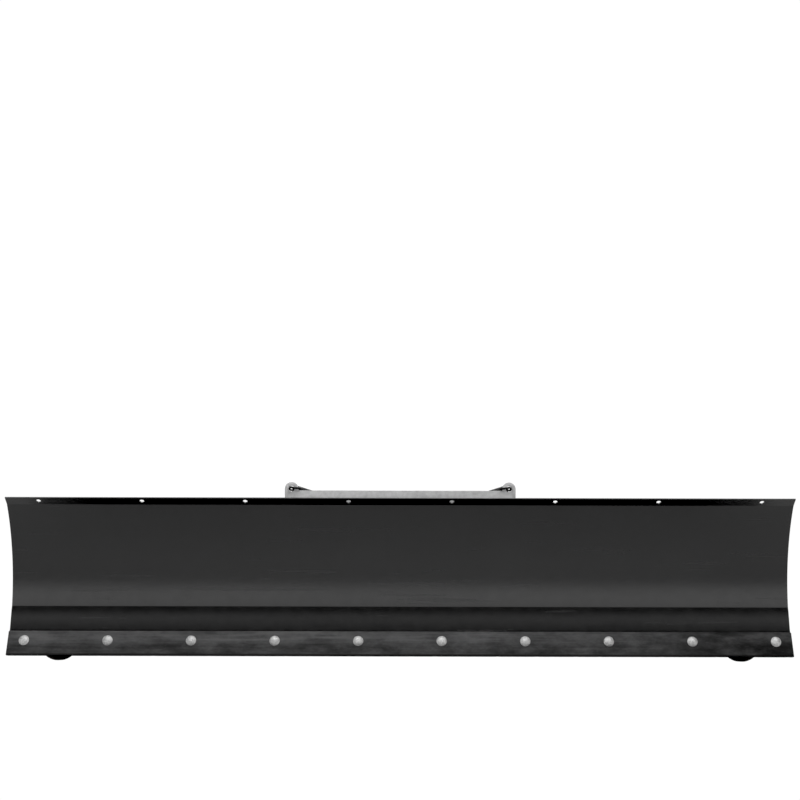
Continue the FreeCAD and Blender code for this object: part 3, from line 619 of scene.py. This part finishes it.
def wear_bar():
    """The bar: edges eased, and small nicks and drags along the lower edge."""
    shape = Shape()
    up, into = lean(EDGE_TILT), inward(EDGE_TILT)
    ease, end_ease = 0.8 * MM, 0.6 * MM
    nick_depth, scratch_depth = 0.6 * MM, 0.2 * MM
    corners = [
        (ease, 0),
        (0, ease),
        (0, BAR_THICK - ease),
        (ease, BAR_THICK),
        (BAR_WIDTH - ease, BAR_THICK),
        (BAR_WIDTH, BAR_THICK - ease),
        (BAR_WIDTH, ease),
        (BAR_WIDTH - ease, 0),
    ]
    steps = 420
    rings = []
    for i in range(steps + 1):
        x = half_width * (2 * i / steps - 1)
        inset = end_ease if i in (0, steps) else 0
        nick = nick_depth * max(noise.noise(Vector((x * 55, 2.0, 0))) - 0.1, 0)
        nick += scratch_depth * max(noise.noise(Vector((x * 210, 5.0, 0))), 0)
        ring = []
        for along, deep in corners:
            low = along < BAR_WIDTH / 2
            a = max(along, inset) + nick if low else min(along, BAR_WIDTH - inset)
            d = min(max(deep, inset), BAR_THICK - inset)
            point = bar_front + up * a + into * d
            ring.append(Vector((x, point.y, point.z)))
        rings.append(ring)
    shape.skin(rings)
    shape.piece("wear_bar_flat", "wear_steel", "blade", ["wear_bar"])


def bolt_places():
    """Where each wear-bar bolt meets the bar's face, its Z pointing into the blade."""
    low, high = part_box("wear_bar_bolts")
    first, last = low.x + HEAD_R, high.x - HEAD_R
    line = bar_front + lean(EDGE_TILT) * BOLT_UP
    for i in range(BOLT_COUNT):
        x = first + (last - first) * i / (BOLT_COUNT - 1)
        yield facing(Vector((x, line.y, line.z)), inward(EDGE_TILT))


def wear_bar_fasteners():
    """Carriage bolts with domed heads, each with a washer and a hex nut behind the sheet."""
    bolts, washers, nuts = Shape(), Shape(), Shape()
    dome_r = (HEAD_R ** 2 + HEAD_RISE ** 2) / (2 * HEAD_RISE)
    top_turn = math.asin(HEAD_R / dome_r)
    dome_steps = 12
    dome = []
    for i in range(1, dome_steps + 1):
        turn = top_turn * i / dome_steps
        dome.append((dome_r * math.sin(turn), dome_r * (1 - math.cos(turn)) - HEAD_RISE))
    shank_r, thread_end, bolt_end = 5 * MM, 22 * MM, 23 * MM
    washer_r, washer_thick, washer_play = 10.5 * MM, 2 * MM, 0.3 * MM
    nut_rise = 8 * MM
    washer_z = BAR_THICK + SHEET
    nut_z = washer_z + washer_thick
    head_back = [(HEAD_R, 0.3 * MM), (HEAD_R - MM, 0.6 * MM), (shank_r, 0.7 * MM), (shank_r, washer_z)]
    tip = [(shank_r - MM, thread_end), (shank_r - 1.6 * MM, bolt_end)]
    washer = washer_profile(washer_r, shank_r + washer_play, washer_thick, washer_z)
    for index, place in enumerate(bolt_places()):
        spin = Matrix.Rotation(math.radians(37 * index), 4, "Z")
        bolts.skin(lathe(dome + head_back), place)
        bolts.skin(threaded(shank_r, washer_z, thread_end), place @ spin)
        bolts.skin(lathe(tip), place)
        washers.skin(lathe(washer), place, looped=True)
        nuts.skin(hex_rings(NUT_FLATS, nut_rise, nut_z), place @ spin)
    bolts.piece("wear_bar_carriage_bolts", "zinc_plate", "blade", ["wear_bar_bolts"])
    washers.piece("wear_bar_flat_washers", "zinc_plate", "blade", ["wear_bar_washers"])
    nuts.piece("wear_bar_hex_nuts", "zinc_plate", "blade", ["wear_bar_nuts"], smooth=25)


# ---- trip hinge, eyebolts, springs and clips ----


def pivot_fasteners():
    """Hex bolts through the rib pairs, each with its washers and lock nut."""
    bolts, washers, nuts = Shape(), Shape(), Shape()
    flats, shank_r, head = 24 * MM, 8 * MM, 10 * MM
    washer_r, washer_thick, washer_play = 15 * MM, 2 * MM, 0.1 * MM
    collar_r, collar_ease = 11 * MM, 0.6 * MM
    for sign, index in ((-1, 0), (1, 1)):
        low, high = solids_of("pivot_bolts")[index]
        nut_low, nut_high = solids_of("pivot_nuts")[index]
        outside = sign * (high.x if sign > 0 else low.x)
        length = high.x - low.x
        nut_at = outside - sign * (nut_high.x if sign > 0 else nut_low.x)
        nut_rise = nut_high.x - nut_low.x
        nut_end = nut_at + nut_rise
        middle = (low + high) / 2
        place = facing(Vector((sign * outside, middle.y, middle.z)), Vector((-sign, 0, 0)))
        bolts.skin(hex_rings(flats, head), place)
        bolts.skin(lathe([(shank_r, head), (shank_r, nut_at)]), place)
        bolts.skin(threaded(shank_r, nut_at, length, 2 * MM), place)
        nuts.skin(hex_rings(flats, nut_rise - MM, nut_at), place @ Matrix.Rotation(0.3, 4, "Z"))
        collar = [(collar_r, nut_end - MM), (collar_r - collar_ease, nut_end), (shank_r, nut_end)]
        nuts.skin(lathe(collar), place)
        for base in (head, nut_at - washer_thick):
            washer = washer_profile(washer_r, shank_r + washer_play, washer_thick, base)
            washers.skin(lathe(washer), place, looped=True)
    bolts.piece("pivot_hex_bolts", "zinc_plate", "blade", ["pivot_bolts"], smooth=25)
    washers.piece("pivot_flat_washers", "zinc_plate", "blade", ["pivot_washers"])
    nuts.piece("pivot_lock_nuts", "zinc_plate", "blade", ["pivot_nuts"], smooth=25)


EYE_RING_R = 12 * MM
EYE_WIRE_R = 4.5 * MM


def eyebolt(side):
    """A bent ring whose end is welded to its own neck, and a threaded shank back through the tower bar."""
    node = f"eyebolt_{side}"
    low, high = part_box(node)
    centre = Vector(((low.x + high.x) / 2, low.y + EYE_RING_R + EYE_WIRE_R, (low.z + high.z) / 2))
    shape = Shape()
    ring_steps = 56
    turns = [2 * math.pi * i / ring_steps for i in range(ring_steps)]
    ring = [centre + Vector((math.sin(t), math.cos(t), 0)) * EYE_RING_R for t in turns]
    shape.skin(sweep(ring, lambda i: EYE_WIRE_R, 18, looped=True), looped=True)
    neck_start = centre + Vector((0, EYE_RING_R, 0))
    thread_before_bar, tip, pitch = 16 * MM, 0.6 * MM, 1.25 * MM
    thread_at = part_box("tower_bar")[0].y - neck_start.y - thread_before_bar
    place = facing(neck_start, Vector((0, 1, 0)))
    shape.skin(lathe([(EYE_WIRE_R, 0), (EYE_WIRE_R, thread_at)], 28), place)
    end = high.y - neck_start.y
    shape.skin(threaded(EYE_WIRE_R, thread_at, end - tip, pitch), place)
    shape.skin(lathe([(EYE_WIRE_R - MM, end - tip), (EYE_WIRE_R - 1.5 * MM, end)], 28), place)
    weld = [(5.4 * MM, 3 * MM), (6.2 * MM, 4.5 * MM), (5.6 * MM, 6.5 * MM), (4.4 * MM, 8 * MM)]
    shape.skin(lathe(weld, 24), place)
    shape.piece(node + "_threaded", SLOT_OF[node], "swing_frame", [node])


def eyebolt_nuts():
    """Two nuts on each eyebolt, one each side of the tower bar."""
    shape = Shape()
    for index, (low, high) in enumerate(solids_of("eyebolt_nuts")):
        middle = (low + high) / 2
        place = facing(Vector((middle.x, low.y, middle.z)), Vector((0, 1, 0)))
        turned_nut = place @ Matrix.Rotation(0.2 + 0.5 * index, 4, "Z")
        shape.skin(hex_rings(NUT_FLATS, high.y - low.y), turned_nut)
    shape.piece("eyebolt_hex_nuts", SLOT_OF["eyebolt_nuts"], "swing_frame", ["eyebolt_nuts"], smooth=25)


SPRING_R = 11 * MM
SPRING_WIRE_R = 2.5 * MM
SPRING_NECK = 11 * MM
COIL_GAP = 0.12 * MM
EAR_R = 16 * MM
LOOP_R = 11 * MM
HOOK_REACH = 6 * MM
LOOP_GAP = 1.35 * MM


def trip_spring(side, sign):
    """An extension spring: a hook through the ear, close-wound coils, and a loop in the eyebolt."""
    node = f"trip_spring_{side}"
    ear_low, ear_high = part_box("spring_bar")
    eye_low, eye_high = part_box(f"eyebolt_{side}")
    ear = Vector((sign * (ear_high.x - EAR_R), (ear_low.y + ear_high.y) / 2, ear_high.z - EAR_R))
    eye_z = (eye_low.z + eye_high.z) / 2
    eye = Vector(((eye_low.x + eye_high.x) / 2, eye_low.y + EYE_RING_R + EYE_WIRE_R, eye_z))
    top = Vector((ear.x, ear_high.y + HOOK_REACH, ear.z))
    way = (eye - top).normalized()
    loop = eye - way * (EYE_RING_R - EYE_WIRE_R - SPRING_WIRE_R - LOOP_GAP + LOOP_R)
    coil_start = top + way * SPRING_NECK
    coil_end = loop - way * (LOOP_R + SPRING_NECK)
    across = way.cross(Vector((0, 0, 1))).normalized()
    rise = across.cross(way).normalized()
    mean_r = SPRING_R - SPRING_WIRE_R

    def around(turn, radius, distance):
        """A point beside the spring's axis, distance on from where the coils start."""
        return coil_start + way * distance + (rise * math.cos(turn) + across * math.sin(turn)) * radius

    length = (coil_end - coil_start).length
    turns = int(length / (2 * SPRING_WIRE_R + COIL_GAP))
    per_turn = 26
    first = -sign * math.pi / 2
    # In from behind through the ear's hole, a curl in front, and back round the ear's inboard shoulder.
    hook = [
        ear + Vector((-sign * 0.5, 4.5, -3.0)) * MM,
        ear + Vector((sign * 0.8, -1.0, -3.2)) * MM,
        ear + Vector((sign * 2.0, -6.4, -3.0)) * MM,
        ear + Vector((sign * 4.2, -7.6, 0.2)) * MM,
        ear + Vector((sign * 1.4, -7.6, 3.6)) * MM,
        ear + Vector((-sign * 4.5, -7.0, 2.2)) * MM,
        ear + Vector((-sign * 12, -6.6, 1.6)) * MM,
        ear + Vector((-sign * 19.5, -3.4, 1.4)) * MM,
        ear + Vector((-sign * 21.5, 5.5, 1.2)) * MM,
        around(first - 0.5, mean_r, -1.5 * MM),
    ]
    path = smooth_path(hook, 7)
    steps = turns * per_turn
    for i in range(steps + 1):
        path.append(around(first + 2 * math.pi * i / per_turn, mean_r, length * i / steps))
    last = first + 2 * math.pi * turns
    ring_start = loop - way * LOOP_R
    run_out = [
        path[-1],
        around(last + 0.8, mean_r * 0.9, length + 2 * MM),
        around(last + 1.7, mean_r * 0.5, length + 4.5 * MM),
        ring_start - way * 4 * MM,
        ring_start - way * MM + rise * 2 * MM,
    ]
    path += smooth_path(run_out, 7)[1:]
    loop_from, loop_turn, loop_steps = 28, 310, 40
    loop_turns = [math.radians(loop_from + loop_turn * i / loop_steps) for i in range(loop_steps + 1)]
    path += [loop + (-way * math.cos(t) + rise * math.sin(t)) * LOOP_R for t in loop_turns]
    shape = Shape()
    shape.skin(sweep(path, lambda i: SPRING_WIRE_R, 10))
    spring = shape.piece(node + "_coils", SLOT_OF[node], None, [node], smooth=60)
    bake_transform(spring)


def skid_clip(side):
    """A hairpin clip: a straight leg through the stem and a bowed leg that grips its outside."""
    node = f"skid_clip_{side}"
    low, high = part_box(node)
    wire_r = (high.z - low.z) / 2
    z = (low.z + high.z) / 2
    near_y, far_y = low.y + wire_r, high.y - wire_r
    centre_y = (near_y + far_y) / 2
    half = (far_y - near_y) / 2
    end_x = low.x
    bend_x = high.x - half
    tube_low, tube_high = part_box(f"skid_tube_{side}")
    stem_x = (tube_low.x + tube_high.x) / 2
    flattened = 0.8
    bend = [
        Vector((bend_x + half * math.sin(t) * flattened, centre_y - half * math.cos(t), z))
        for t in (math.pi * i / 14 for i in range(15))
    ]
    straight = [Vector((end_x + wire_r + (bend_x - end_x - wire_r) * i / 6, near_y, z)) for i in range(6)]
    bowed = [
        Vector((stem_x + 16 * MM, far_y - 0.4 * MM, z)),
        Vector((stem_x + 9 * MM, far_y - 0.2 * MM, z)),
        Vector((stem_x, far_y, z)),
        Vector((stem_x - 9 * MM, far_y - 1.6 * MM, z)),
        Vector((stem_x - 15 * MM, far_y - 4.6 * MM, z)),
        Vector((stem_x - 20 * MM, far_y - 4.2 * MM, z)),
        Vector((stem_x - 25 * MM, far_y - 1.0 * MM, z)),
    ]
    path = straight + bend + smooth_path(bowed, 5)
    shape = Shape()
    shape.skin(sweep(path, lambda i: wire_r, 12))
    shape.piece(node + "_wire", SLOT_OF[node], f"skid_{side}", [node], smooth=60)


# ---- welds ----

WELD_R = 2.4 * MM
THIN_WELD_R = 2 * MM
WELD_STEP = 0.7 * MM
WELD_GAP = 0.3 * MM


def run_of(start, end):
    """Points a small step apart from start to end."""
    count = max(int((end - start).length / WELD_STEP), 2)
    return [start.lerp(end, i / count) for i in range(count + 1)]


def upright(x, y, z_low, z_high):
    return run_of(Vector((x, y, z_low)), Vector((x, y, z_high)))


def flanks(low, high, gap=WELD_GAP):
    """The X just beside each side of a plate."""
    return low.x - gap, high.x + gap


def bead(shape, path, radius=WELD_R):
    """A weld bead: overlapping ripples with an uneven width, tapering at its ends."""
    count = len(path) - 1
    seed = path[0] * 31
    steps_per_ripple = 3.6

    def radius_at(i):
        ripple = 0.10 * math.cos(i * 2 * math.pi / steps_per_ripple)
        wander = 0.16 * noise.noise(seed + Vector((i * 0.09, 0, 0)))
        taper = min(1.0, 0.55 + 0.09 * min(i, count - i))
        return radius * taper * (1 + ripple + wander)

    shape.skin(sweep(path, radius_at, 8))


def stitches(shape, path, on=52, off=70):
    """Short beads spaced along a path, in steps of the path."""
    start, shortest = 6, 12
    while start + shortest < len(path):
        bead(shape, path[start : start + on])
        start += on + off


def evened(points):
    """The same line with its points a small step apart."""
    line = []
    for a, b in zip(points, points[1:]):
        line += run_of(a, b)[:-1]
    return line + [points[-1]]


def rib_line(x, z_low, z_high):
    """The line where a rib's side meets the moldboard's back."""
    back = [p + inward(t) * (SHEET + WELD_GAP) for p, t in board_profile()]
    line = evened([Vector((x, p.y, p.z)) for p in back])
    return [p for p in line if z_low <= p.z <= z_high]


def blade_welds():
    """Stitched beads along the ribs and gussets, and short runs at the tubes and the spring bar."""
    shape = Shape()
    ribs = [f"main_rib_{s}_{d}" for s in ("left", "right") for d in ("outer", "inner")]
    ribs += [f"{kind}_rib_{s}" for kind in ("mid", "end") for s in ("left", "right")] + ["centre_rib"]
    rib_gap, rib_foot, gusset_foot = 0.4 * MM, 0.095, 0.094
    end_gap, seam_gap = 4 * MM, 3 * MM
    tube_low, tube_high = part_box("back_tube")
    tube_seam_top = tube_low.z + 27 * MM
    ear_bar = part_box("spring_bar")[0]
    for rib in ribs:
        low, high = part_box(rib)
        for x in flanks(low, high, rib_gap):
            if abs(x) > half_width - WELD_R:
                continue
            stitches(shape, rib_line(x, rib_foot, tube_low.z - end_gap))
            stitches(shape, rib_line(x, tube_high.z + end_gap, high.z - end_gap))
            if abs(x) < tube_high.x - 8 * MM:
                bead(shape, upright(x, tube_high.y, tube_low.z + seam_gap, tube_seam_top), THIN_WELD_R)
            if rib.startswith("main"):
                bead(shape, upright(x, ear_bar.y, ear_bar.z + end_gap, high.z - seam_gap), THIN_WELD_R)
    seam_x, seam_y, seam_r = 18.4 * MM, 8 * MM, 1.8 * MM
    for side in ("left", "right"):
        for edge in ("outer", "inner"):
            low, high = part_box(f"skid_gusset_{side}_{edge}")
            for x in flanks(low, high):
                stitches(shape, rib_line(x, gusset_foot, high.z - seam_gap), on=30, off=20)
        low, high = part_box(f"skid_tube_{side}")
        middle = (low + high) / 2
        for x in (middle.x - seam_x, middle.x + seam_x):
            for y in (middle.y - seam_y, middle.y + seam_y):
                bead(shape, upright(x, y, low.z + seam_gap, high.z - seam_gap), seam_r)
    shape.piece("blade_weld_beads", "black_powder_coat", "blade", smooth=60)


def frame_welds():
    """Beads where the swing frame's plates, arms, tower, stops and collars meet its tube or each other."""
    shape = Shape()
    tube_low, tube_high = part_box("cross_tube")
    king_starts, king_run, tower_run = (-0.145, -0.045, 0.055), 0.09, 0.13
    front, front_weld_r = tube_low.y + 0.5 * MM, 1.4 * MM
    for z in (tube_high.z, tube_low.z):
        for x in king_starts:
            bead(shape, run_of(Vector((x, tube_high.y, z)), Vector((x + king_run, tube_high.y, z))))
            bead(shape, run_of(Vector((x, front, z)), Vector((x + king_run, front, z))), front_weld_r)
    tower_low, tower_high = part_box("tower_bar")
    plate_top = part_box("king_plate_top")[1].z
    foot = tube_high.z
    for side in ("left", "right"):
        low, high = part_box(f"tower_plate_{side}")
        for x in flanks(low, high):
            plate_run = Vector((x, low.y + 4 * MM, plate_top)), Vector((x, low.y + tower_run, plate_top))
            bead(shape, run_of(*plate_run))
            bar_run = Vector((x, tower_low.y, high.z)), Vector((x, tower_high.y, high.z))
            bead(shape, run_of(*bar_run), THIN_WELD_R)
        low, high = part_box(f"frame_arm_{side}")
        for x in flanks(low, high):
            bead(shape, upright(x, high.y, low.z + 2 * MM, high.z - 2 * MM))
        low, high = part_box(f"stop_plate_{side}")
        bead(shape, run_of(Vector((low.x, high.y, foot)), Vector((high.x, high.y, foot))), THIN_WELD_R)
        plate_y = high.y
        low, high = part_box(f"stop_gusset_{side}")
        for x in flanks(low, high):
            bead(shape, run_of(Vector((x, plate_y, foot)), Vector((x, high.y, foot))), THIN_WELD_R)
            bead(shape, upright(x, plate_y, foot, high.z), THIN_WELD_R)
    steps = 190
    turns = [2 * math.pi * i / steps for i in range(steps + 1)]
    for name, welded in (("king_collar_top", 0), ("king_collar_bottom", 1)):
        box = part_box(name)
        centre, radius = (box[0] + box[1]) / 2, (box[1].x - box[0].x) / 2
        x_of = [centre.x + radius * math.cos(t) for t in turns]
        y_of = [centre.y + radius * math.sin(t) for t in turns]
        bead(shape, [Vector((x, y, box[welded].z)) for x, y in zip(x_of, y_of)])
    shape.piece("frame_weld_beads", "black_powder_coat", "swing_frame", smooth=60)


# ---- the object ----

moldboard()
wear_bar()
wear_bar_fasteners()
pivot_fasteners()
eyebolt_nuts()
for side, sign in (("left", -1), ("right", 1)):
    eyebolt(side)
    trip_spring(side, sign)
    skid_clip(side)
blade_welds()
frame_welds()
# Every CAD node that no piece above stands for is shown with its edges broken, by this much.
SAWN_EASE = 0.7 * MM
OTHER_EASES = {"stop_bumper": 2 * MM, "cross_plug": 1.5 * MM, "skid_shoe": 0.5 * MM, "cross_tube": 2 * MM}
for node, source in frame["nodes"].items():
    if not source.hide_render:
        kind = node.removesuffix("_left").removesuffix("_right")
        dressed(node, OTHER_EASES.get(kind, SAWN_EASE))


# ---- studio ----


PAPER_WHITE = 1.02


def show_camera(tree, output, others, paper):
    """The camera's own rays see the paper shader, and all other light sees the other one."""
    seen = tree.nodes.new("ShaderNodeLightPath")
    choice = tree.nodes.new("ShaderNodeMixShader")
    tree.links.new(seen.outputs["Is Camera Ray"], choice.inputs[0])
    tree.links.new(others, choice.inputs[1])
    tree.links.new(paper, choice.inputs[2])
    tree.links.new(choice.outputs["Shader"], tree.nodes[output].inputs["Surface"])


def floor():
    """A wide pale floor that the camera sees as white paper.

    For all other light it holds a painted shadow: it fades to black in front of the blade and stays black
    behind it, across most of the blade's width, so that the lip mirrors something dark. The blade's back
    gets less light by it too.
    """
    side = 12
    corners = [(-side, -side, 0), (side, -side, 0), (side, side, 0), (-side, side, 0)]
    mesh = bpy.data.meshes.new("floor")
    mesh.from_pydata(corners, [], [(0, 1, 2, 3)])
    plane = bpy.data.objects.new("floor", mesh)
    finish = Finish("pale_floor")
    # Painted shadow: the floor is black across the blade's width from just in front of it backwards.
    painted_shadow_half, painted_shadow_front, fade = 0.80, -0.26, 0.10
    from_middle = finish.math("ABSOLUTE", finish.along("X"), 0.0)
    inside = finish.span(from_middle, painted_shadow_half, painted_shadow_half + fade, 1.0, 0.0)
    behind = finish.span(finish.along("Y"), painted_shadow_front - fade, painted_shadow_front)
    colour = finish.mix(finish.math("MULTIPLY", inside, behind), (0.6, 0.6, 0.6), (0.004, 0.004, 0.004))
    finish.feed(finish.shader.inputs["Base Color"], colour)
    finish.shader.inputs["Roughness"].default_value = 0.9
    paper = finish.nodes.new("ShaderNodeEmission")
    paper.inputs["Strength"].default_value = PAPER_WHITE
    tree = finish.material.node_tree
    show_camera(tree, "Material Output", finish.shader.outputs["BSDF"], paper.outputs["Emission"])
    mesh.materials.append(finish.material)
    bpy.context.scene.collection.objects.link(plane)


def surroundings():
    """White paper behind the camera's view; a bright horizon under a dark ceiling for all other light."""
    world = bpy.data.worlds.new("studio")
    bpy.context.scene.world = world
    world.use_nodes = True
    tree = world.node_tree
    way = tree.nodes.new("ShaderNodeTexCoord")
    split = tree.nodes.new("ShaderNodeSeparateXYZ")
    tree.links.new(way.outputs["Generated"], split.inputs["Vector"])
    ramp = tree.nodes.new("ShaderNodeValToRGB")
    tree.links.new(split.outputs["Z"], ramp.inputs["Fac"])
    # How far up a ray points, from 0 for level or down to 1 for straight up, and how bright it is there.
    stops = [(0.0, 1.85), (0.22, 1.9), (0.38, 0.36), (0.55, 0.08), (1.0, 0.06)]
    strength = 2
    ramp.color_ramp.elements[0].position = stops[0][0]
    ramp.color_ramp.elements[1].position = stops[-1][0]
    for position, _ in stops[1:-1]:
        ramp.color_ramp.elements.new(position)
    for element, (_, level) in zip(ramp.color_ramp.elements, stops):
        element.color = (level / strength, level / strength, level / strength, 1)
    background = tree.nodes["Background"]
    tree.links.new(ramp.outputs["Color"], background.inputs["Color"])
    background.inputs["Strength"].default_value = strength
    paper = tree.nodes.new("ShaderNodeBackground")
    paper.inputs["Color"].default_value = (1, 1, 1, 1)
    paper.inputs["Strength"].default_value = PAPER_WHITE
    show_camera(tree, "World Output", background.outputs["Background"], paper.outputs["Background"])


def softbox(name, location, aim, size, power):
    """A rectangular light at a location, turned towards its aim."""
    light = bpy.data.lights.new(name, "AREA")
    light.shape = "RECTANGLE"
    light.size, light.size_y = size
    light.energy = power
    lamp = bpy.data.objects.new(name, light)
    lamp.matrix_world = facing(Vector(location), Vector(location) - Vector(aim))
    bpy.context.scene.collection.objects.link(lamp)


def camera():
    """At a person's knee height, looking level and straight at the middle of the blade."""
    aside, away, height = -0.7 * MM, 2.9, 0.448
    roll = math.radians(-0.13)
    lens = bpy.data.cameras.new("camera")
    lens.lens = 56.29
    lens.sensor_width = 36
    lens.shift_y = 0.0944
    seat = bpy.data.objects.new("camera", lens)
    seat.location = (aside, bar_low.y - away, height)
    seat.rotation_euler = (math.radians(90), roll, 0)
    bpy.context.scene.collection.objects.link(seat)
    bpy.context.scene.camera = seat


floor()
surroundings()
softbox("overhead_softbox", (0, -1.0, 3.0), (0, -0.2, 0.1), (4.5, 2.2), 150)
softbox("rear_softbox", (0, 2.6, 2.2), (0, 0, 0.2), (3.5, 1.6), 60)
camera()
look = bpy.context.scene.view_settings
look.view_transform = "Standard"
look.use_curve_mapping = True
look.curve_mapping.black_level = (0.006, 0.006, 0.006)
look.curve_mapping.update()
